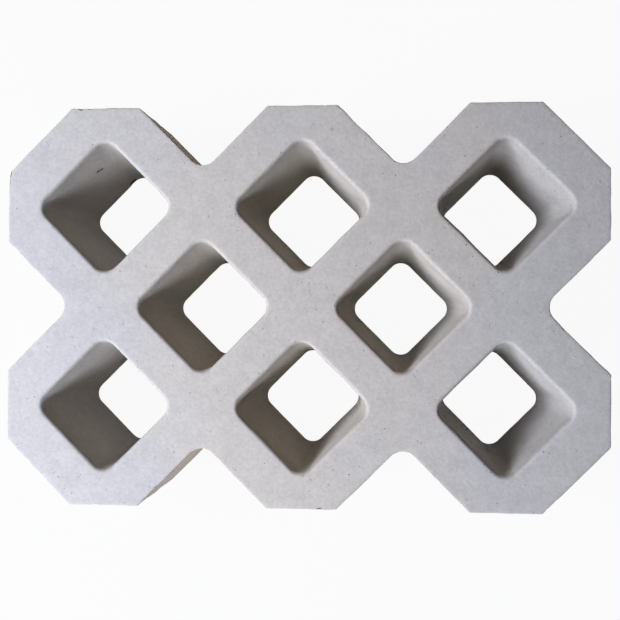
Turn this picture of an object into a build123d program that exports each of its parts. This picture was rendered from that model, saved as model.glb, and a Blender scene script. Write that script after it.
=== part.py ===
from build123d import *
import os

# Grass paver: one cast concrete block, a lattice of diagonal bars. It leaves eight square cells
# open from face to face. Half cells are cut into its edges as V notches and quarter cells into
# its corners as chamfers, and the neighbouring blocks of a paved area close them.
# Millimetres, +Z up. The origin is the middle of the underside, and +X runs along the block.

# Driving dimensions of the block, which is a number of pitches long and wide
PITCH = 200.0
COLUMNS = 3
ROWS = 2
HEIGHT = 100.0
ARRIS = 1.0
CORNER_RADIUS = 2.0

# A cell is a square turned by 45 degrees. The mould core that makes it is drawn out upwards, so
# its walls lean outwards by the draft, and its rim at the top face is rolled over into a lip.
CELL_TURN = 45.0
CELL_SIDE = 82.0
CELL_DRAFT = 5.0
CELL_CORNER_RADIUS = 14.0
LIP_RADIUS = 4.0

# The cuts in the outline. A notch has a half mouth and a depth of EDGE_CUT before its root is
# rounded, and a corner chamfer takes EDGE_CUT off both of its sides.
EDGE_CUT = 65.0
NOTCH_ROOT_RADIUS = 16.0
NOTCH_OVERRUN = 5.0

LENGTH = COLUMNS * PITCH
WIDTH = ROWS * PITCH
TOLERANCE = 0.01
CUBIC_MM_IN_A_LITRE = 1e6


def cell_locations():
    """Return the centres of the cells: the main grid, and the ones between its rows."""
    grid = GridLocations(PITCH, PITCH, COLUMNS, ROWS)
    between = GridLocations(PITCH, PITCH, COLUMNS - 1, ROWS - 1)
    return list(grid) + list(between)


def notch_locations():
    """Return the six notches' mouths, each turned so that its root points into the block."""
    half_pitch = PITCH / 2
    mouths = []
    for x in (-half_pitch, half_pitch):
        mouths.append(Location((x, WIDTH / 2), 0))
        mouths.append(Location((x, -WIDTH / 2), 180))
    mouths.append(Location((LENGTH / 2, 0), -90))
    mouths.append(Location((-LENGTH / 2, 0), 90))
    return mouths


def notch():
    """Return a right-angled V with its mouth on the X axis and its rounded root below it."""
    half_mouth = EDGE_CUT + NOTCH_OVERRUN
    points = [(-half_mouth, NOTCH_OVERRUN), (0, -EDGE_CUT), (half_mouth, NOTCH_OVERRUN)]
    wedge = Polygon(*points, align=None)
    root = wedge.vertices().sort_by(Axis.Y).first
    return fillet(root, NOTCH_ROOT_RADIUS)


def block_outline():
    """Return the block seen from above: a rectangle less its corner chamfers and edge notches."""
    rectangle = Rectangle(LENGTH, WIDTH)
    outline = chamfer(rectangle.vertices(), EDGE_CUT)
    for mouth in notch_locations():
        outline -= mouth * notch()
    return outline


def cell_core():
    """Return the mould core of one cell: four flat drafted sides and four rounded corners."""
    core = extrude(Rectangle(CELL_SIDE, CELL_SIDE), HEIGHT)
    sides = core.faces().filter_by(Axis.Z, reverse=True)
    core = draft(sides, Plane.XY, -CELL_DRAFT)
    corners = [edge for edge in core.edges() if is_between_faces(edge)]
    core = fillet(corners, CELL_CORNER_RADIUS)
    return Rot(0, 0, CELL_TURN) * core


def is_between_faces(edge):
    """Return whether an edge runs from the underside's level up to the top face's."""
    return TOLERANCE < edge.center().Z < HEIGHT - TOLERANCE


def is_outer_corner(edge):
    """Return whether an upright edge stands on the block's bounding rectangle."""
    middle = edge.center()
    on_end = abs(abs(middle.X) - LENGTH / 2) < TOLERANCE
    on_side = abs(abs(middle.Y) - WIDTH / 2) < TOLERANCE
    return on_end or on_side


def upright_corners(block):
    """Return the block's sharp upright edges, which are those that aren't in a notch's root."""
    uprights = block.edges().filter_by(Axis.Z)
    return [edge for edge in uprights if is_outer_corner(edge)]


def with_lips(block):
    """Return the block with the rims of its cells rolled over at the top face."""
    top_face = block.faces().sort_by(Axis.Z).last
    rims = [wire.edges() for wire in top_face.inner_wires()]
    return fillet([edge for rim in rims for edge in rim], LIP_RADIUS)


def with_arris(block):
    """Return the block with its top face's outer edge broken by the small arris chamfer."""
    top_face = block.faces().sort_by(Axis.Z).last
    return chamfer(top_face.outer_wire().edges(), ARRIS)


def grass_paver():
    """Return the whole block as one solid."""
    block = extrude(block_outline(), HEIGHT)
    block = fillet(upright_corners(block), CORNER_RADIUS)
    core = cell_core()
    for centre in cell_locations():
        block -= centre * core
    return with_arris(with_lips(block))


def main():
    """Build the block, write it and print its size and volume."""
    os.makedirs("parts", exist_ok=True)
    paver = grass_paver()
    export_step(paver, "parts/grass_paver.step")
    size = paver.bounding_box().size
    litres = paver.volume / CUBIC_MM_IN_A_LITRE
    print(f"grass_paver {size.X:.1f} x {size.Y:.1f} x {size.Z:.1f} mm, {litres:.3f} litres")


main()
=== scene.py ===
import logging
import math
import random
from dataclasses import dataclass
from enum import Enum

import bmesh
import bpy
from bmesh.types import BMEdge, BMesh, BMFace, BMVert
from mathutils import Matrix, Vector, kdtree, noise


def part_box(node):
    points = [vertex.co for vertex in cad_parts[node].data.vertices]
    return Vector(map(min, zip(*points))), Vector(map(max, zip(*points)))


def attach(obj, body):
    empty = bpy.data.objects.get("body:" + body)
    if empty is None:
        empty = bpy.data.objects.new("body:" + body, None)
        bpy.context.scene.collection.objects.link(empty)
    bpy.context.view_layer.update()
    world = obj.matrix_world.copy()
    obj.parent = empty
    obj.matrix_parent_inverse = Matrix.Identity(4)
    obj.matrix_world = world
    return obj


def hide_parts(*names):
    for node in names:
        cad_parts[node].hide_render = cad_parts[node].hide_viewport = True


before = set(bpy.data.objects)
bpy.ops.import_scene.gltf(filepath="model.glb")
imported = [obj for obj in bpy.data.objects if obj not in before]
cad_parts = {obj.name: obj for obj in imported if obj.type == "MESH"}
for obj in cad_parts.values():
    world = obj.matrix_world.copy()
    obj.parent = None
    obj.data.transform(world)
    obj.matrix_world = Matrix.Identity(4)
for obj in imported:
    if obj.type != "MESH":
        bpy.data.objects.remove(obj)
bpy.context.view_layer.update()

# A grass paver: one cast concrete block, a lattice of diagonal bars round eight drafted cells.
# Lengths are in metres, in the block's own frame: +X along it, +Z up, underside at zero.

LOG = logging.getLogger("grass_paver")
MM = 0.001
NODE = "grass_paver"
QUARTER_TURN = math.pi / 2
EIGHTH_TURN = math.radians(45)
DIAGONAL = Matrix.Rotation(EIGHTH_TURN, 2)
ROOT_TWO = math.sqrt(2)
SHARP_ANGLE = math.radians(50)

Span = tuple[float, float]
Triple = tuple[float, float, float]
Colour = tuple[float, float, float, float]
Ring = list[BMEdge]


class Surface(Enum):
    """The block's two kinds of surface, in the order of its material slots."""

    CAST = 0
    # Chips, the crack and the air voids' pits: their dark finish is painted shade.
    BROKEN_AND_SHADED = 1


class Side(Enum):
    """The block's four sides, clockwise from above, each with its way along and its way out."""

    BACK = ((1, 0), (0, 1))
    RIGHT = ((0, -1), (1, 0))
    FRONT = ((-1, 0), (0, -1))
    LEFT = ((0, 1), (-1, 0))

    @property
    def along(self) -> Vector:
        """The direction that the side runs in."""
        return Vector(self.value[0])

    @property
    def out(self) -> Vector:
        """The direction that the side faces."""
        return Vector(self.value[1])


@dataclass(frozen=True)
class Section:
    """One level of a cell: a rounded square, seen from above, turned by 45 degrees."""

    half_side: float
    corner: float
    height: float

    @property
    def straight(self) -> float:
        """Half the length of each side's straight part."""
        return self.half_side - self.corner

    def clearance(self, offset: Vector) -> float:
        """How far a point is outside the section.

        Args:
            offset: The point's place in plan, from the cell's centre.

        Returns:
            The distance to the section's outline, negative inside it.
        """
        turned = DIAGONAL.inverted() @ offset
        beyond = Vector((abs(turned.x) - self.straight, abs(turned.y) - self.straight))
        outside = Vector((max(beyond.x, 0), max(beyond.y, 0))).length
        return outside + min(max(beyond.x, beyond.y), 0) - self.corner

    def carried(self, offset: Vector, former: "Section") -> Vector:
        """Where a point on another section's outline goes on this one's.

        Args:
            offset: The point's place in plan, from the cell's centre.
            former: The section that the point is on now.

        Returns:
            Its new place in plan, from the cell's centre.
        """
        turned = DIAGONAL.inverted() @ offset
        whole = Vector((abs(turned.x), abs(turned.y)))
        held = Vector((min(whole.x, former.straight), min(whole.y, former.straight)))
        reach = whole - held
        moved = held * (self.straight / former.straight) + reach * (self.corner / former.corner)
        signed = Vector((math.copysign(moved.x, turned.x), math.copysign(moved.y, turned.y)))
        return DIAGONAL @ signed


@dataclass(frozen=True)
class Chip:
    """A shell-shaped flake gone from the surface: its place and facing, its curve and its bite."""

    place: Vector
    facing: Vector
    radius: float
    bite: float

    @property
    def centre(self) -> Vector:
        """The middle of its curve, off the block."""
        return self.place + self.facing.normalized() * (self.radius - self.bite)


@dataclass(frozen=True)
class Unevenness:
    """How far the cast surface strays from its mould: a slow swell, a ripple and a fine grit.

    The ripple and the grit are read a few steps away in the noise, so that the three don't line up.
    """

    swell_length: float = 85 * MM
    swell_depth: float = 0.40 * MM
    ripple_length: float = 16 * MM
    face_ripple: float = 0.09 * MM
    wall_ripple: float = 0.7 * MM
    ripple_away: Triple = (7, 3, 5)
    grit_length: float = 3.4 * MM
    grit_depth: float = 0.07 * MM
    grit_away: Triple = (2, 9, 4)

    def depth_at(self, point: Vector, normal: Vector) -> float:
        """How far the surface lies below its mould.

        Args:
            point: A point of the surface.
            normal: The way the surface faces there.

        Returns:
            The depth, which is negative where the surface stands proud.
        """
        share = abs(normal.z)
        ripple_depth = self.face_ripple * share + self.wall_ripple * (1 - share)
        swell = noise.noise(point / self.swell_length) * self.swell_depth
        ripple = noise.noise(point / self.ripple_length + Vector(self.ripple_away)) * ripple_depth
        grit = noise.noise(point / self.grit_length + Vector(self.grit_away)) * self.grit_depth
        return swell + ripple + grit

    def dress(self, bm: BMesh) -> None:
        """Moves the mould's surface to where the cast surface is, and leaves the bed flat.

        Args:
            bm: The mesh.
        """
        bm.normal_update()
        moved = [(v, v.co - v.normal * self.depth_at(v.co, v.normal)) for v in bm.verts]
        for vert, place in moved:
            vert.co = Vector((place.x, place.y, max(place.z, 0)))


@dataclass
class PaverBlock:
    """The cast block: its sizes and its mesh.

    The walls' rows crowd together towards the top by row_crowding. The grid of a level face keeps
    grid_margin of its own step away from the edges.
    """

    length: float
    width: float
    height: float
    pitch: float = 200 * MM
    cell_side: float = 82 * MM
    cell_draft: float = math.radians(5)
    cell_corner: float = 14 * MM
    lip: float = 4 * MM
    edge_cut: float = 65 * MM
    notch_root: float = 16 * MM
    upright_corner: float = 2 * MM
    arris: float = 1 * MM
    face_step: float = 3 * MM
    bed_step: float = 9 * MM
    grid_margin: float = 0.5
    lip_steps: int = 7
    arris_steps: int = 3
    wall_steps: int = 24
    row_crowding: float = 1.25
    corner_segments: int = 2
    root_segments: int = 8
    cell_segments: int = 10
    columns: int = 3
    rows: int = 2

    def cell_centres(self) -> list[Vector]:
        """The centres of the cells in plan: the main grid's, then those between its rows.

        Returns:
            The centres.
        """
        centres = []
        for across in range(self.rows):
            for along in range(self.columns):
                x = (along - (self.columns - 1) / 2) * self.pitch
                y = (across - (self.rows - 1) / 2) * self.pitch
                centres.append(Vector((x, y)))
        for along in range(self.columns - 1):
            centres.append(Vector(((along - (self.columns - 2) / 2) * self.pitch, 0)))
        return centres

    def lobes(self, side: Side) -> list[Vector]:
        """The middles of the flat ends of the lobes on one side.

        Args:
            side: The side.

        Returns:
            The middles, in the order in which the side runs.
        """
        is_end = side in (Side.LEFT, Side.RIGHT)
        count = self.rows if is_end else self.columns
        reach = self.length / 2 if is_end else self.width / 2
        first = -(count - 1) / 2 * self.pitch
        return [side.out * reach + side.along * (first + i * self.pitch) for i in range(count)]

    def notch_mouths(self) -> list[Vector]:
        """The middles of the six notches' mouths in plan.

        Returns:
            The middles, on the bounding rectangle.
        """
        half_pitch = self.pitch / 2
        mouths = []
        for side in Side:
            mouths += [lobe + side.along * half_pitch for lobe in self.lobes(side)[:-1]]
        return mouths

    def wall_half(self, z: float) -> float:
        """Half the side of a cell at a height, on its drafted wall."""
        return self.cell_side / 2 + z * math.tan(self.cell_draft)

    def sections(self) -> list[Section]:
        """The levels of a cell, from the top face over its lip and down its wall.

        Returns:
            The sections, each with its height.
        """
        sweep = QUARTER_TURN - self.cell_draft
        axis = self.wall_half(self.height) + self.lip * math.tan(sweep / 2)
        levels = []
        for step in range(self.lip_steps + 1):
            turn = sweep * step / self.lip_steps
            half = axis - self.lip * math.sin(turn)
            z = self.height - self.lip + self.lip * math.cos(turn)
            levels.append(Section(half, self.cell_corner + half - self.wall_half(z), z))
        for z in self.wall_heights(levels[-1].height):
            levels.append(Section(self.wall_half(z), self.cell_corner, z))
        return levels

    def wall_heights(self, top: float) -> list[float]:
        """The heights of a wall's rows, closer together near the top.

        Args:
            top: The height that the wall starts from.

        Returns:
            The heights below it, down to zero.
        """
        heights = []
        for step in range(1, self.wall_steps + 1):
            part = step / self.wall_steps
            heights.append(top * (1 - part ** self.row_crowding))
        return heights

    def clearance(self, point: Vector, section: Section, inset: float) -> float:
        """How far a point of the top face or underside is from the nearest edge.

        Args:
            point: The point in plan.
            section: The cells' section at that level.
            inset: How far the outline is drawn in at that level.

        Returns:
            The distance, negative off the concrete.
        """
        x, y = abs(point.x), abs(point.y)
        corner_line = self.length / 2 + self.width / 2 - self.edge_cut
        nearest = [self.length / 2 - x, self.width / 2 - y, (corner_line - x - y) / ROOT_TWO]
        for mouth in self.notch_mouths():
            away = abs(point.x - mouth.x) + abs(point.y - mouth.y)
            nearest.append((away - self.edge_cut) / ROOT_TWO)
        cells = [section.clearance(point - centre) for centre in self.cell_centres()]
        return min(min(nearest) - inset, min(cells))

    def outline_ring(self, bm: BMesh) -> Ring:
        """Draws the block's outline as a ring of short edges.

        Args:
            bm: The mesh to draw in.

        Returns:
            The ring's edges, just below the arris.
        """
        flat = self.pitch / 2 - self.edge_cut
        level = Vector((0, 0, self.height - self.arris))
        roots, corners, order = [], [], []
        for side in Side:
            lobes = self.lobes(side)
            for lobe in lobes:
                for shift in (-flat, flat):
                    corner = lobe + side.along * shift
                    corners.append(bm.verts.new(corner.to_3d() + level))
                    order.append(corners[-1])
                if lobe is not lobes[-1]:
                    root = lobe + side.along * self.pitch / 2 - side.out * self.edge_cut
                    roots.append(bm.verts.new(root.to_3d() + level))
                    order.append(roots[-1])
        bm.faces.new(order)
        corner_run = self.upright_corner * math.tan(EIGHTH_TURN / 2)
        round_off(bm, corners, corner_run, self.corner_segments)
        round_off(bm, roots, self.notch_root, self.root_segments)
        return rim_only(bm, self.face_step)

    def cell_ring(self, bm: BMesh, centre: Vector, top: Section) -> Ring:
        """Draws one cell's mouth as a ring of short edges.

        Args:
            bm: The mesh to draw in.
            centre: The cell's centre in plan.
            top: The cell's section at the top face.

        Returns:
            The ring's edges.
        """
        place = Matrix.Translation((centre.x, centre.y, top.height))
        square = bmesh.ops.create_circle(
            bm, cap_ends=True, segments=4, radius=top.half_side * ROOT_TWO, matrix=place
        )
        round_off(bm, square["verts"], top.corner, self.cell_segments)
        return rim_only(bm, self.face_step)

    def build(self) -> tuple[BMesh, list[tuple[Vector, Vector]]]:
        """Makes the whole block as one closed mesh.

        Returns:
            The mesh, and the points of its upper edge with their outward directions.
        """
        bm = bmesh.new()
        sections = self.sections()
        outline = self.outline_ring(bm)
        edge_line = [(vert.co.copy(), outward) for vert, outward in ring_normals(outline).items()]
        upper = self.arris_ring(bm, outline)
        mouths = [self.cell_ring(bm, centre, sections[0]) for centre in self.cell_centres()]
        self.fill_level(bm, [upper, *mouths], sections[0], self.arris, self.face_step)
        lower = self.side_walls(bm, outline)
        feet = self.cell_walls(bm, mouths, sections)
        self.fill_level(bm, [lower, *feet], sections[-1], 0, self.bed_step)
        put_in_order(bm)
        bmesh.ops.recalc_face_normals(bm, faces=bm.faces)
        return bm, edge_line

    def arris_ring(self, bm: BMesh, outline: Ring) -> Ring:
        """Rolls the outline over to the top face.

        Args:
            bm: The mesh.
            outline: The outline's ring, one arris below the top face.

        Returns:
            The ring on the top face, drawn in by one arris.
        """
        ring = outline
        outward = ring_normals(ring)
        start = {vert: vert.co.copy() for vert in outward}
        for step in range(1, self.arris_steps + 1):
            turn = QUARTER_TURN * step / self.arris_steps
            ring, moved = extruded(bm, ring)
            outward = {new: outward[old] for old, new in moved.items()}
            start = {new: start[old] for old, new in moved.items()}
            for vert in outward:
                inward = self.arris * (1 - math.cos(turn))
                vert.co = start[vert] - outward[vert] * inward
                vert.co.z = self.height - self.arris * (1 - math.sin(turn))
        return ring

    def side_walls(self, bm: BMesh, outline: Ring) -> Ring:
        """Draws the outline down to the underside.

        Args:
            bm: The mesh.
            outline: The outline's ring, one arris below the top face.

        Returns:
            The ring at the underside.
        """
        ring = outline
        for z in self.wall_heights(self.height - self.arris):
            ring, moved = extruded(bm, ring)
            for vert in moved.values():
                vert.co.z = z
        return ring

    def cell_walls(self, bm: BMesh, mouths: list[Ring], sections: list[Section]) -> list[Ring]:
        """Draws the cells' mouths over their lips and down their walls.

        Args:
            bm: The mesh.
            mouths: The rings at the cells' mouths, in the order of the cells' centres.
            sections: The cells' levels from the top.

        Returns:
            The rings at the underside.
        """
        ring = [edge for mouth in mouths for edge in mouth]
        middles = {}
        for centre, mouth in zip(self.cell_centres(), mouths):
            middles.update({vert: centre for edge in mouth for vert in edge.verts})
        for former, level in zip(sections, sections[1:]):
            ring, moved = extruded(bm, ring)
            middles = {new: middles[old] for old, new in moved.items()}
            for vert, centre in middles.items():
                plan = level.carried(vert.co.xy - centre, former) + centre
                vert.co = (plan.x, plan.y, level.height)
        return separate_loops(ring)

    def fill_level(self, bm: BMesh, borders: list[Ring], section: Section, inset: float,
                   step: float) -> None:
        """Fills the concrete at one level with a grid that is laid along the bars.

        Args:
            bm: The mesh.
            borders: The rings of the outline and the cells at that level.
            section: The cells' section there.
            inset: How far the outline is drawn in there.
            step: The grid's spacing.
        """
        half_span = (self.length + self.width) / 2 / ROOT_TWO
        squares = math.ceil(2 * half_span / step)
        place = Matrix.Translation((0, 0, section.height)) @ Matrix.Rotation(EIGHTH_TURN, 4, "Z")
        grid = bmesh.ops.create_grid(
            bm, x_segments=squares, y_segments=squares, size=squares * step / 2, matrix=place
        )
        margin = self.grid_margin * step
        off, kept = [], []
        for vert in grid["verts"]:
            is_off = self.clearance(vert.co.xy, section, inset) < margin
            (off if is_off else kept).append(vert)
        bmesh.ops.delete(bm, geom=off, context="VERTS")
        loose = [vert for vert in kept if not vert.link_faces]
        bmesh.ops.delete(bm, geom=loose, context="VERTS")
        kept = [vert for vert in kept if vert.is_valid]
        rim = dict.fromkeys(edge for vert in kept for edge in vert.link_edges if edge.is_boundary)
        signs = [middle_and_reach(border) for border in borders]
        for loop in separate_loops(list(rim)):
            sign = middle_and_reach(loop)
            gaps = [(sign - other).length for other in signs]
            border = borders[gaps.index(min(gaps))]
            bmesh.ops.triangle_fill(
                bm, use_beauty=True, use_dissolve=False, edges=loop + border, normal=(0, 0, 1)
            )


def round_off(bm: BMesh, corners: list[BMVert], run: float, segments: int) -> None:
    """Rounds corners of a flat plate.

    Args:
        bm: The mesh.
        corners: The corners' vertices.
        run: How far from the corner the rounding starts.
        segments: How many pieces each arc has.
    """
    bmesh.ops.bevel(
        bm, geom=corners, offset=run, offset_type="OFFSET", segments=segments, profile=0.5,
        affect="VERTICES", material=-1
    )


def rim_only(bm: BMesh, step: float) -> Ring:
    """Turns the mesh's one flat plate into its rim, cut into short edges.

    Args:
        bm: The mesh, in which the plate is the only face without neighbours.
        step: The longest that an edge may be.

    Returns:
        The rim's edges.
    """
    plate = next(face for face in bm.faces if all(edge.is_boundary for edge in face.edges))
    for edge in list(plate.edges):
        cuts = math.ceil(edge.calc_length() / step) - 1
        if cuts > 0:
            bmesh.ops.subdivide_edges(bm, edges=[edge], cuts=cuts)
    rim = list(plate.edges)
    bmesh.ops.delete(bm, geom=[plate], context="FACES_ONLY")
    return rim


def put_in_order(bm: BMesh) -> None:
    """Rebuilds a mesh with its vertices and faces in the order of their places.

    The mesh operators leave them in an order that changes from run to run, and later steps
    choose among them.

    Args:
        bm: The mesh.
    """
    verts = sorted(bm.verts, key=lambda vert: vert.co.to_tuple())
    numbers = {vert: number for number, vert in enumerate(verts)}
    rings = []
    for face in bm.faces:
        ring = [numbers[vert] for vert in face.verts]
        first = ring.index(min(ring))
        rings.append((ring[first:] + ring[:first], face.material_index))
    places = [vert.co.copy() for vert in verts]
    bm.clear()
    fresh = [bm.verts.new(place) for place in places]
    for ring, kind in sorted(rings):
        bm.faces.new([fresh[number] for number in ring]).material_index = kind


def ring_normals(ring: Ring) -> dict[BMVert, Vector]:
    """The outward directions of a ring, seen from above.

    Args:
        ring: The edges of one ring.

    Returns:
        Each vertex with its direction, lengthened at corners so that an offset keeps its width.
    """
    members = set(ring)
    area = 0.0
    directions = {}
    start = ring[0].verts[0]
    here, edge = start, ring[0]
    order = []
    while True:
        order.append(here)
        ahead = edge.other_vert(here)
        area += here.co.x * ahead.co.y - ahead.co.x * here.co.y
        edge = next(e for e in ahead.link_edges if e in members and e is not edge)
        here = ahead
        if here is start:
            break
    turn = 1 if area > 0 else -1
    for i, vert in enumerate(order):
        back = (vert.co - order[i - 1].co).xy.normalized()
        on = (order[(i + 1) % len(order)].co - vert.co).xy.normalized()
        sides = [Vector((way.y, -way.x)) * turn for way in (back, on)]
        middle = (sides[0] + sides[1]).normalized()
        directions[vert] = (middle / middle.dot(sides[0])).to_3d()
    return directions


def extruded(bm: BMesh, ring: Ring) -> tuple[Ring, dict[BMVert, BMVert]]:
    """Extrudes a ring of edges in place.

    Args:
        bm: The mesh.
        ring: The ring's edges.

    Returns:
        The new ring, and each old vertex with its new one.
    """
    result = bmesh.ops.extrude_edge_only(bm, edges=ring)["geom"]
    fresh = dict.fromkeys(item for item in result if isinstance(item, BMVert))
    edges = [e for e in result if isinstance(e, BMEdge) and all(v in fresh for v in e.verts)]
    moved = {}
    for vert in fresh:
        rung = next(e for e in vert.link_edges if e.other_vert(vert) not in fresh)
        moved[rung.other_vert(vert)] = vert
    return edges, moved


def middle_and_reach(loop: Ring) -> Vector:
    """Where a level loop is and how far it reaches, as one vector to tell loops apart by.

    Args:
        loop: The loop's edges.

    Returns:
        Its middle in plan, and its reach from there as the third number.
    """
    points = [edge.verts[0].co.xy for edge in loop]
    middle = sum(points, Vector((0, 0))) / len(points)
    return Vector((*middle, max((point - middle).length for point in points)))


def separate_loops(edges: list[BMEdge]) -> list[Ring]:
    """Sorts edges into closed loops.

    Args:
        edges: The edges of one or more loops.

    Returns:
        One list of edges for each loop.
    """
    left = dict.fromkeys(edges)
    loops = []
    while left:
        queue = [left.popitem()[0]]
        loop = []
        while queue:
            edge = queue.pop()
            loop.append(edge)
            for vert in edge.verts:
                joined = [e for e in vert.link_edges if e in left]
                for other in joined:
                    del left[other]
                queue += joined
        loops.append(loop)
    return loops


@dataclass(frozen=True)
class Wear:
    """The damage of a block that has been handled: nicks and chips on its arris, and one crack.

    A hollow's curve is roughened by a share of its radius, and the mesh is worked on as far as
    search_reach radii from a chip's middle.
    """

    nick_count: int = 38
    nick_slant: Span = (0.5, 1.4)
    nick_bite: Span = (0.2 * MM, 0.65 * MM)
    nick_radius: Span = (1.4 * MM, 3.2 * MM)
    crack_start: Triple = (-223.2 * MM, 143.2 * MM, 67.8 * MM)
    crack_end: Triple = (-217.6 * MM, 148.2 * MM, 63.0 * MM)
    crack_steps: int = 9
    crack_radius: float = 1.6 * MM
    crack_bite: float = 1.3 * MM
    hollow_roughness: float = 0.12
    hollow_grain: float = 1.4 * MM
    search_reach: float = 1.25
    cuts: int = 2
    seed: int = 8

    def larger_chips(self, block: PaverBlock) -> list[Chip]:
        """The chips that stand out: on the left, back and front edges, and in the back left cell.

        Args:
            block: The block that they are on.

        Returns:
            The chips, and a row of small ones that run together into the crack.
        """
        left, back, top = -block.length / 2, block.width / 2, block.height
        into_cell = Vector((1, -1, 0))
        chips = [
            Chip(Vector((left, 134 * MM, top)), Vector((-1, 0.4, 1.6)), radius=5 * MM, bite=2.3 * MM),
            Chip(Vector((left, 127 * MM, top)), Vector((-1, 0, 1.6)), radius=4 * MM, bite=1.9 * MM),
            Chip(Vector((-225 * MM, back, top)), Vector((0, 1, 1)), radius=5 * MM, bite=1.6 * MM),
            Chip(Vector((-216 * MM, back, top)), Vector((0, 1, 1)), radius=4 * MM, bite=1.3 * MM),
            Chip(Vector((19 * MM, -back, top)), Vector((0, -1, 1.2)), radius=4 * MM, bite=1.9 * MM),
            Chip(Vector((-213.2 * MM, 145 * MM, 2 * MM)), into_cell, radius=3.5 * MM, bite=1.8 * MM),
            Chip(Vector((-210.4 * MM, 147.6 * MM, 3 * MM)), into_cell, radius=4 * MM, bite=2.4 * MM),
        ]
        start, end = Vector(self.crack_start), Vector(self.crack_end)
        for step in range(self.crack_steps + 1):
            place = start.lerp(end, step / self.crack_steps)
            chips.append(Chip(place, into_cell, self.crack_radius, self.crack_bite))
        return chips

    def nicks(self, arris: list[tuple[Vector, Vector]]) -> list[Chip]:
        """Small nicks at random places along the arris.

        Args:
            arris: The points of the block's upper edge, each with its outward direction.

        Returns:
            The nicks.
        """
        chance = random.Random(self.seed)
        found = []
        for _ in range(self.nick_count):
            place, outward = chance.choice(arris)
            facing = outward.normalized() + Vector((0, 0, chance.uniform(*self.nick_slant)))
            radius = chance.uniform(*self.nick_radius)
            bite = chance.uniform(*self.nick_bite)
            found.append(Chip(place, facing, radius, bite))
        return found

    def dress(self, bm: BMesh, chips: list[Chip]) -> None:
        """Breaks the chips out of the mesh.

        Args:
            bm: The mesh.
            chips: The chips.
        """
        near = {}
        for verts in self.verts_near(bm, chips):
            near.update(dict.fromkeys(edge for vert in verts for edge in vert.link_edges))
        bmesh.ops.subdivide_edges(bm, edges=list(near), cuts=self.cuts, use_grid_fill=True)
        for chip, verts in zip(chips, self.verts_near(bm, chips)):
            self.hollow(chip, verts)
        put_in_order(bm)

    def hollow(self, chip: Chip, verts: list[BMVert]) -> None:
        """Pushes the surface out of one chip's curve, to a rough hollow.

        Args:
            chip: The chip.
            verts: The vertices near it.
        """
        sunk = set()
        for vert in verts:
            away = vert.co - chip.centre
            roughening = self.hollow_roughness * noise.noise(vert.co / self.hollow_grain)
            reach = chip.radius * (1 + roughening)
            if away.length < reach:
                vert.co = chip.centre + away.normalized() * reach
                sunk.add(vert)
        for face in {face for vert in sunk for face in vert.link_faces}:
            if sunk.issuperset(face.verts):
                # The chip's faces take the dark broken finish, which paints shade into the hollow.
                face.material_index = Surface.BROKEN_AND_SHADED.value

    def verts_near(self, bm: BMesh, chips: list[Chip]) -> list[list[BMVert]]:
        """The vertices near each chip.

        Args:
            bm: The mesh.
            chips: The chips.

        Returns:
            One list of vertices for each chip.
        """
        verts = list(bm.verts)
        tree = kdtree.KDTree(len(verts))
        for i, vert in enumerate(verts):
            tree.insert(vert.co, i)
        tree.balance()
        found = [tree.find_range(chip.centre, chip.radius * self.search_reach) for chip in chips]
        return [[verts[i] for _, i, _ in hits] for hits in found]


@dataclass(frozen=True)
class AirVoids:
    """Bug holes that the air in the mix left in the cast faces, in a few sizes.

    A face is level where its normal rises by level_from or more, and a wall where it rises by
    less than wall_below. A pit's inset and depth are shares of its radius.
    """

    wall_count: int = 400
    top_count: int = 70
    wall_radius: Span = (0.5 * MM, 1.3 * MM)
    top_radius: Span = (0.25 * MM, 0.6 * MM)
    sizes: int = 4
    level_from: float = 0.99
    wall_below: float = 0.2
    above_bed: float = 4 * MM
    below_top: float = 8 * MM
    rim_segments: int = 2
    pit_inset: float = 0.3
    pit_depth: float = 1.2
    seed: int = 23

    def dress(self, bm: BMesh, block: PaverBlock) -> None:
        """Opens the voids.

        Args:
            bm: The block's mesh.
            block: The block.
        """
        bm.normal_update()
        highest = block.height - self.below_top
        walls, tops = [], []
        for face in bm.faces:
            height = face.calc_center_median().z
            if len(face.verts) != 4 or face.material_index == Surface.BROKEN_AND_SHADED.value:
                continue
            if face.normal.z > self.level_from:
                tops.append(face)
            elif abs(face.normal.z) < self.wall_below and self.above_bed < height < highest:
                walls.append(face)
        chance = random.Random(self.seed)
        wall_spots = apart(chance.sample(walls, self.wall_count))
        top_spots = apart(chance.sample(tops, self.top_count))
        for spots, radii in ((wall_spots, self.wall_radius), (top_spots, self.top_radius)):
            for size in range(self.sizes):
                radius = radii[0] + (radii[1] - radii[0]) * size / (self.sizes - 1)
                self.open_pits(bm, spots[size::self.sizes], radius)
        put_in_order(bm)

    def open_pits(self, bm: BMesh, faces: list[BMFace], radius: float) -> None:
        """Sinks a small round hole in the middle of each face.

        Args:
            bm: The mesh.
            faces: The faces, of four sides.
            radius: The holes' radius.
        """
        middles = bmesh.ops.poke(bm, faces=faces)["verts"]
        mouths = bmesh.ops.bevel(
            bm, geom=middles, offset=radius, offset_type="OFFSET", segments=self.rim_segments,
            profile=0.5, affect="VERTICES", material=-1
        )["faces"]
        bmesh.ops.inset_region(
            bm, faces=mouths, thickness=radius * self.pit_inset, depth=-radius * self.pit_depth
        )
        for face in mouths:
            # The pits take the dark broken finish: painted shade in them.
            face.material_index = Surface.BROKEN_AND_SHADED.value


def apart(faces: list[BMFace]) -> list[BMFace]:
    """Thins out faces until no two of them touch.

    Args:
        faces: The faces.

    Returns:
        Those that touch no earlier one that was kept.
    """
    taken, kept = set(), []
    for face in faces:
        if taken.isdisjoint(face.verts):
            taken.update(face.verts)
            kept.append(face)
    return kept


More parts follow.
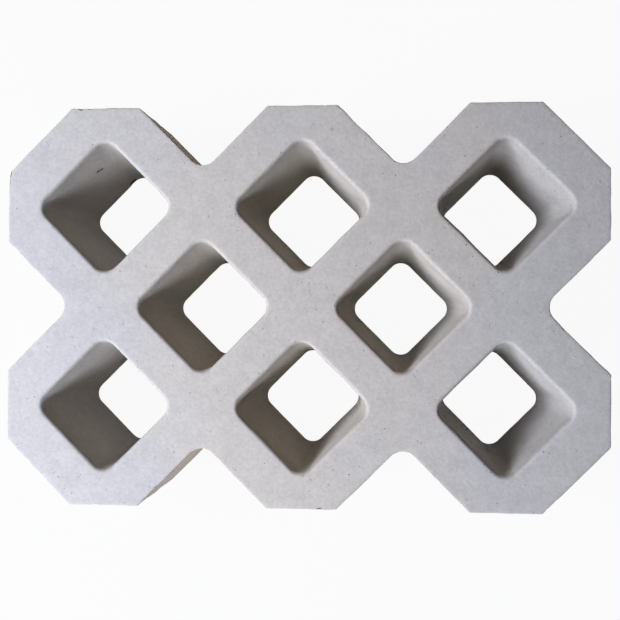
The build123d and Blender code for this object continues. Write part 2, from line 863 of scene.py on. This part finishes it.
class NodeTree:
    """A shader tree that is written as one call for each node."""

    def __init__(self, tree: bpy.types.NodeTree) -> None:
        """Starts from an empty tree."""
        self.tree = tree
        tree.nodes.clear()

    def add(self, kind: str, settings: dict | None = None, **inputs: object) -> bpy.types.Node:
        """Adds a node.

        Args:
            kind: The node's type, without its leading ShaderNode.
            settings: Its properties.
            **inputs: Its inputs, by name with underscores for spaces, each a value or a socket.

        Returns:
            The node.
        """
        node = self.tree.nodes.new(kind if kind.startswith("Node") else "ShaderNode" + kind)
        for name, value in (settings or {}).items():
            setattr(node, name, value)
        for name, value in inputs.items():
            self.put(node.inputs[name.replace("_", " ")], value)
        return node

    def put(self, socket: bpy.types.NodeSocket, value: object) -> None:
        """Gives a socket a value, or links it to another socket.

        Args:
            socket: The socket to fill.
            value: The value, or the socket that it comes from.
        """
        if isinstance(value, bpy.types.NodeSocket):
            self.tree.links.new(value, socket)
        else:
            socket.default_value = value

    def math(self, operation: str, *values: object) -> bpy.types.NodeSocket:
        """Adds a math node.

        Args:
            operation: What it does.
            *values: Its inputs in order, each a value or a socket.

        Returns:
            The result.
        """
        node = self.tree.nodes.new("ShaderNodeMath")
        node.operation = operation
        for socket, value in zip(node.inputs, values):
            self.put(socket, value)
        return node.outputs[0]

    def ramp(self, value: object, low: float, high: float, start: float = 0.0,
             end: float = 1.0) -> bpy.types.NodeSocket:
        """Adds a smooth step from one value to another.

        Args:
            value: What is mapped.
            low: Where the step starts.
            high: Where it ends.
            start: The result at and below low.
            end: The result at and above high.

        Returns:
            The result.
        """
        node = self.add("MapRange", {"interpolation_type": "SMOOTHSTEP"}, Value=value)
        limits = {"From Min": low, "From Max": high, "To Min": start, "To Max": end}
        for name, number in limits.items():
            node.inputs[name].default_value = number
        return node.outputs["Result"]

    def mix(self, factor: object, first: object, second: object,
            blend: str = "MIX") -> bpy.types.NodeSocket:
        """Mixes two colours.

        Args:
            factor: How much of the second colour there is.
            first: The first colour.
            second: The second colour.
            blend: How they are mixed.

        Returns:
            The mixed colour.
        """
        node = self.tree.nodes.new("ShaderNodeMix")
        node.data_type = "RGBA"
        node.blend_type = blend
        for name, value in (("Factor_Float", factor), ("A_Color", first), ("B_Color", second)):
            self.put(next(s for s in node.inputs if s.identifier == name), value)
        return next(s for s in node.outputs if s.identifier == "Result_Color")

    def noise(self, place: object, wavelength: float, detail: float = 2.0,
              roughness: float = 0.5) -> bpy.types.NodeSocket:
        """Adds a noise texture with features of a given size and returns its value."""
        node = self.add("TexNoise", Vector=place, Scale=1 / wavelength, Detail=detail, Roughness=roughness)
        return node.outputs["Fac"]


@dataclass(frozen=True)
class GrainLayer:
    """One scale of the grain: the size of its features, its noise's settings and its weight."""

    wavelength: float
    detail: float
    roughness: float
    weight: float


@dataclass(frozen=True)
class Spots:
    """Scattered spots: how far apart they could be, and a spot's radius as a share of that."""

    spacing: float
    reach: float


PATCHES = GrainLayer(wavelength=16 * MM, detail=3, roughness=0.6, weight=0.26)
MOTTLE = GrainLayer(wavelength=3.8 * MM, detail=3, roughness=0.65, weight=0.46)
GRIT = GrainLayer(wavelength=1.3 * MM, detail=1, roughness=0.5, weight=0.28)
FLECKS = Spots(spacing=15 * MM, reach=0.13)
PINHOLES = Spots(spacing=7 * MM, reach=0.11)


@dataclass(frozen=True)
class CementGrain:
    """The grain that cast and broken concrete share, as one node group.

    A spot's rim is soft over rim_span and uneven by rim_wobble, both in shares of its radius.
    Spots are kept where a noise, spread_over spacings long, is above rarity.
    """

    layers: tuple[GrainLayer, ...] = (PATCHES, MOTTLE, GRIT)
    flecks: Spots = FLECKS
    pinholes: Spots = PINHOLES
    cloud_length: float = 120 * MM
    cloud_detail: float = 3
    wobble_length: float = 2.4 * MM
    wobble_detail: float = 1
    rim_wobble: float = 0.8
    rim_span: Span = (0.8, 1.4)
    rarity: float = 0.50
    rarity_softness: float = 0.06
    spread_over: float = 2.6
    pinhole_height: float = -0.9

    def build(self) -> bpy.types.NodeTree:
        """Makes the group.

        Returns:
            The group: a place in; cloud, tone, fleck, pinhole and height values out.
        """
        group = bpy.data.node_groups.new("cement grain", "ShaderNodeTree")
        kit = NodeTree(group)
        group.interface.new_socket("Place", in_out="INPUT", socket_type="NodeSocketVector")
        for name in ("Cloud", "Tone", "Fleck", "Pinhole", "Height"):
            group.interface.new_socket(name, in_out="OUTPUT", socket_type="NodeSocketFloat")
        place = kit.add("NodeGroupInput").outputs["Place"]
        cloud = kit.noise(place, self.cloud_length, self.cloud_detail)
        tone = 0.0
        for layer in self.layers:
            pattern = kit.noise(place, layer.wavelength, layer.detail, layer.roughness)
            tone = kit.math("MULTIPLY_ADD", pattern, layer.weight, tone)
        wobble = kit.noise(place, self.wobble_length, self.wobble_detail)
        fleck = self.spread(kit, place, self.flecks, wobble)
        pinhole = self.spread(kit, place, self.pinholes, wobble)
        height = kit.math("MULTIPLY_ADD", pinhole, self.pinhole_height, tone)
        out = kit.add("NodeGroupOutput")
        marks = {"Cloud": cloud, "Tone": tone, "Fleck": fleck, "Pinhole": pinhole, "Height": height}
        for name, value in marks.items():
            kit.put(out.inputs[name], value)
        return group

    def spread(self, kit: NodeTree, place: object, spots: Spots,
               wobble: object) -> bpy.types.NodeSocket:
        """Adds a mask of scattered spots with uneven rims.

        Args:
            kit: The tree.
            place: Where on the block.
            spots: The spots.
            wobble: A fine noise for their rims.

        Returns:
            The mask, 1 in a spot.
        """
        cells = kit.add("TexVoronoi", Vector=place, Scale=1 / spots.spacing)
        uneven = spots.reach * self.rim_wobble
        distance = kit.math("MULTIPLY_ADD", wobble, uneven, cells.outputs["Distance"])
        inner, outer = (spots.reach * share for share in self.rim_span)
        near = kit.ramp(distance, inner, outer, 1, 0)
        chooser = kit.noise(place, spots.spacing * self.spread_over, 0)
        kept = kit.ramp(chooser, self.rarity, self.rarity + self.rarity_softness)
        return kit.math("MULTIPLY", near, kept)


@dataclass(frozen=True)
class Concrete:
    """A concrete surface: its colours, its sheen and its grain.

    The colour goes over from middle to ends in clouds, and ends_share is what is added to them in
    the block's middle and at its ends. Below deck_span, from the lips down, the colour is darkened and
    browned by the walls' painted shade, which stands in for the brown shade in the cells and dims the
    lips' highlight. Where the grain's tone is light the surface is rougher, by polish_swing.
    """

    name: str
    middle: Colour
    ends: Colour
    # The colour that pinholes are darkened towards: painted shade in their pits.
    pit_shade: Colour
    contrast: float
    fleck_depth: float
    roughness: float
    relief: float
    # Painted shade: the factor that darkens and browns every wall and lip below the top face.
    wall_painted_shade: Colour = (0.90, 0.885, 0.845, 1)
    deck_span: Span = (98 * MM, 99.9 * MM)
    ends_span: Span = (60 * MM, 260 * MM)
    ends_share: Span = (-0.18, 0.30)
    cloud_span: Span = (0.35, 0.75)
    tone_span: Span = (0.32, 0.68)
    # How far the pinholes' painted shade goes.
    pit_shade_strength: float = 0.65
    polish_span: Span = (0.3, 0.7)
    polish_swing: float = 0.06
    sheen: float = 0.16

    def build(self, grain: bpy.types.NodeTree) -> bpy.types.Material:
        """Makes the material.

        Args:
            grain: The shared grain group.

        Returns:
            The material.
        """
        material = bpy.data.materials.new(self.name)
        material.use_nodes = True
        kit = NodeTree(material.node_tree)
        place = kit.add("TexCoord").outputs["Object"]
        marks = kit.add("Group", {"node_tree": grain}, Place=place).outputs
        axes = kit.add("SeparateXYZ", Vector=place).outputs
        from_middle = kit.math("ABSOLUTE", axes["X"])
        toward_end = kit.ramp(from_middle, *self.ends_span, *self.ends_share)
        clouds = kit.ramp(kit.math("ADD", marks["Cloud"], toward_end), *self.cloud_span)
        deck = kit.mix(clouds, self.middle, self.ends)
        # The walls and lips below the deck are multiplied by painted shade.
        wall_in_painted_shade = kit.mix(1.0, deck, self.wall_painted_shade, "MULTIPLY")
        base = kit.mix(kit.ramp(axes["Z"], *self.deck_span), wall_in_painted_shade, deck)
        shade = kit.ramp(marks["Tone"], *self.tone_span, 1 - self.contrast, 1 + self.contrast)
        shade = kit.math("MULTIPLY_ADD", marks["Fleck"], -self.fleck_depth, shade)
        shaded = kit.add("VectorMath", {"operation": "SCALE"}, Scale=shade)
        kit.put(shaded.inputs[0], base)
        # Pinholes are darkened: painted shade in the pits that the bump sinks there.
        pit_shaded = kit.math("MULTIPLY", marks["Pinhole"], self.pit_shade_strength)
        colour = kit.mix(pit_shaded, shaded.outputs[0], self.pit_shade)
        rough_span = (self.roughness - self.polish_swing, self.roughness + self.polish_swing)
        roughness = kit.ramp(marks["Tone"], *self.polish_span, *rough_span)
        bump = kit.add("Bump", Height=marks["Height"], Distance=self.relief, Strength=1.0)
        shader = kit.add("BsdfPrincipled", Base_Color=colour, Roughness=roughness, Normal=bump.outputs[0])
        shader.inputs["Specular IOR Level"].default_value = self.sheen
        out = kit.add("OutputMaterial")
        kit.put(out.inputs["Surface"], shader.outputs[0])
        return material


CAST_FINISH = Concrete(
    name="cast concrete", middle=(0.545, 0.515, 0.472, 1), ends=(0.520, 0.506, 0.497, 1),
    pit_shade=(0.14, 0.12, 0.10, 1), contrast=0.115, fleck_depth=0.18, roughness=0.84, relief=0.38 * MM
)
# Much darker than the cast finish: painted shade in the chips, the crack and the air voids' pits.
BROKEN_AND_SHADED_FINISH = Concrete(
    name="broken concrete in painted shade", middle=(0.21, 0.17, 0.14, 1), ends=(0.15, 0.12, 0.10, 1),
    pit_shade=(0.07, 0.05, 0.04, 1), contrast=0.25, fleck_depth=0.15, roughness=0.93, relief=0.4 * MM
)


@dataclass(frozen=True)
class SoftBox:
    """A soft lamp that faces the block, at a distance and two angles in degrees, one from +X."""

    name: str
    azimuth: float
    elevation: float
    distance: float
    width: float
    height: float
    power: float
    colour: Triple

    def build(self) -> None:
        """Hangs the lamp."""
        lamp = bpy.data.lights.new(self.name, "AREA")
        lamp.shape = "RECTANGLE"
        lamp.size = self.width
        lamp.size_y = self.height
        lamp.energy = self.power
        lamp.color = self.colour
        holder = bpy.data.objects.new(self.name, lamp)
        azimuth, elevation = math.radians(self.azimuth), math.radians(self.elevation)
        flat = self.distance * math.cos(elevation)
        holder.location = (
            flat * math.cos(azimuth),
            flat * math.sin(azimuth),
            self.distance * math.sin(elevation),
        )
        holder.rotation_euler = (-holder.location).to_track_quat("-Z", "Y").to_euler()
        bpy.context.scene.collection.objects.link(holder)


WINDOW = SoftBox(
    "window", azimuth=184, elevation=40, distance=1.8, width=1.26, height=0.81, power=38.6,
    colour=(0.96, 1.0, 1.14)
)
SIDE_WINDOW = SoftBox(
    "side window", azimuth=252, elevation=31, distance=1.4, width=0.84, height=0.56, power=11.7,
    colour=(0.96, 1.0, 1.12)
)
WARM_WALL = SoftBox(
    "warm wall", azimuth=60, elevation=30, distance=2.0, width=1.2, height=0.8, power=1.7,
    colour=(1.0, 0.56, 0.22)
)


@dataclass(frozen=True)
class Studio:
    """A floor and a surround that look white, and the soft lamps.

    Both glow by backdrop where they are seen. The floor_white lets the block's shadow show, and
    the block itself is lit by floor_bounce and surround instead of the glow.
    """

    lamps: tuple[SoftBox, ...] = (WINDOW, SIDE_WINDOW, WARM_WALL)
    floor_half: float = 20.0
    floor_gap: float = 0.1 * MM
    backdrop: float = 0.94
    floor_white: Colour = (0.026, 0.026, 0.026, 1)
    floor_bounce: Colour = (0.74, 0.61, 0.49, 1)
    surround: Colour = (0.010, 0.008, 0.006, 1)
    white: Colour = (1, 1, 1, 1)

    def build(self) -> None:
        """Makes the floor, the lamps and the surround."""
        self.build_floor()
        for lamp in self.lamps:
            lamp.build()
        self.build_surround()

    def build_floor(self) -> None:
        """Makes the floor, white where it is seen and warm in the light that it throws back."""
        bm = bmesh.new()
        place = Matrix.Translation((0, 0, -self.floor_gap))
        bmesh.ops.create_grid(bm, x_segments=1, y_segments=1, size=self.floor_half, matrix=place)
        mesh = bpy.data.meshes.new("floor")
        bm.to_mesh(mesh)
        bm.free()
        floor = bpy.data.objects.new("floor", mesh)
        bpy.context.scene.collection.objects.link(floor)
        material = bpy.data.materials.new("studio floor")
        material.use_nodes = True
        kit = NodeTree(material.node_tree)
        glow = kit.add("Emission", Color=self.white, Strength=self.backdrop)
        shadowed = kit.add("BsdfDiffuse", Color=self.floor_white)
        seen = kit.add("AddShader")
        kit.put(seen.inputs[0], glow.outputs[0])
        kit.put(seen.inputs[1], shadowed.outputs[0])
        unseen = kit.add("BsdfDiffuse", Color=self.floor_bounce)
        choice = kit.add("MixShader", Fac=seen_directly(kit))
        kit.put(choice.inputs[1], unseen.outputs[0])
        kit.put(choice.inputs[2], seen.outputs[0])
        out = kit.add("OutputMaterial")
        kit.put(out.inputs["Surface"], choice.outputs[0])
        mesh.materials.append(material)

    def build_surround(self) -> None:
        """Sets the world: white to look at, and a weak fill in what it throws on the block."""
        world = bpy.data.worlds.new("surround")
        world.use_nodes = True
        bpy.context.scene.world = world
        kit = NodeTree(world.node_tree)
        glow = kit.add("Background", Color=self.white, Strength=self.backdrop)
        fill = kit.add("Background", Color=self.surround, Strength=1.0)
        choice = kit.add("MixShader", Fac=seen_directly(kit))
        kit.put(choice.inputs[1], fill.outputs[0])
        kit.put(choice.inputs[2], glow.outputs[0])
        out = kit.add("OutputWorld")
        kit.put(out.inputs["Surface"], choice.outputs[0])


def seen_directly(kit: NodeTree) -> bpy.types.NodeSocket:
    """Adds a mask for what the camera sees, straight, in a reflection or through glass.

    Args:
        kit: The tree of a floor or a world.

    Returns:
        The mask, 1 where it is seen.
    """
    path = kit.add("LightPath").outputs
    straight = kit.math("MAXIMUM", path["Is Camera Ray"], path["Is Glossy Ray"])
    return kit.math("MAXIMUM", straight, path["Is Transmission Ray"])


@dataclass(frozen=True)
class PhotoCamera:
    """The photograph's viewpoint: from above, a little to the right of the block's middle."""

    place: Triple = (0.0850, -0.0120, 0.7098)
    turn: Triple = (0.0063, 0.0560, 0.0042)
    lens: float = 36.03
    sensor: float = 36.0
    shift: Span = (-0.0690, 0.0087)
    nearest: float = 10 * MM

    def build(self) -> None:
        """Makes the camera and hands it to the scene."""
        camera = bpy.data.cameras.new("camera")
        camera.lens = self.lens
        camera.sensor_width = self.sensor
        camera.shift_x, camera.shift_y = self.shift
        camera.clip_start = self.nearest
        holder = bpy.data.objects.new("camera", camera)
        holder.location = self.place
        holder.rotation_euler = self.turn
        bpy.context.scene.collection.objects.link(holder)
        bpy.context.scene.camera = holder


def show(bm: BMesh, finishes: list[bpy.types.Material]) -> bpy.types.Object:
    """Turns the finished mesh into the block's visible piece.

    Args:
        bm: The mesh, which is freed.
        finishes: Its materials, in the order of the kinds of surface.

    Returns:
        The piece.
    """
    bm.normal_update()
    for face in bm.faces:
        face.smooth = True
    for edge in bm.edges:
        edge.smooth = edge.calc_face_angle(0) < SHARP_ANGLE
    mesh = bpy.data.meshes.new("concrete_block")
    bm.to_mesh(mesh)
    bm.free()
    for finish in finishes:
        mesh.materials.append(finish)
    piece = bpy.data.objects.new("concrete_block", mesh)
    bpy.context.scene.collection.objects.link(piece)
    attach(piece, "root")
    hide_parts(NODE)
    return piece


def main() -> None:
    """Builds the block, its finish, the studio and the camera."""
    logging.basicConfig(level=logging.INFO, format="%(name)s: %(message)s")
    low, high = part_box(NODE)
    block = PaverBlock(*(high - low))
    bm, edge_line = block.build()
    wear = Wear()
    wear.dress(bm, wear.larger_chips(block) + wear.nicks(edge_line))
    Unevenness().dress(bm)
    AirVoids().dress(bm, block)
    open_edges = sum(1 for edge in bm.edges if not edge.is_manifold)
    grain = CementGrain().build()
    piece = show(bm, [CAST_FINISH.build(grain), BROKEN_AND_SHADED_FINISH.build(grain)])
    triangles = sum(len(polygon.vertices) - 2 for polygon in piece.data.polygons)
    LOG.info("%s: %d triangles, %d open edges", piece.name, triangles, open_edges)
    Studio().build()
    PhotoCamera().build()
    bpy.context.scene.view_settings.view_transform = "Standard"


if __name__ == "__main__":
    main()
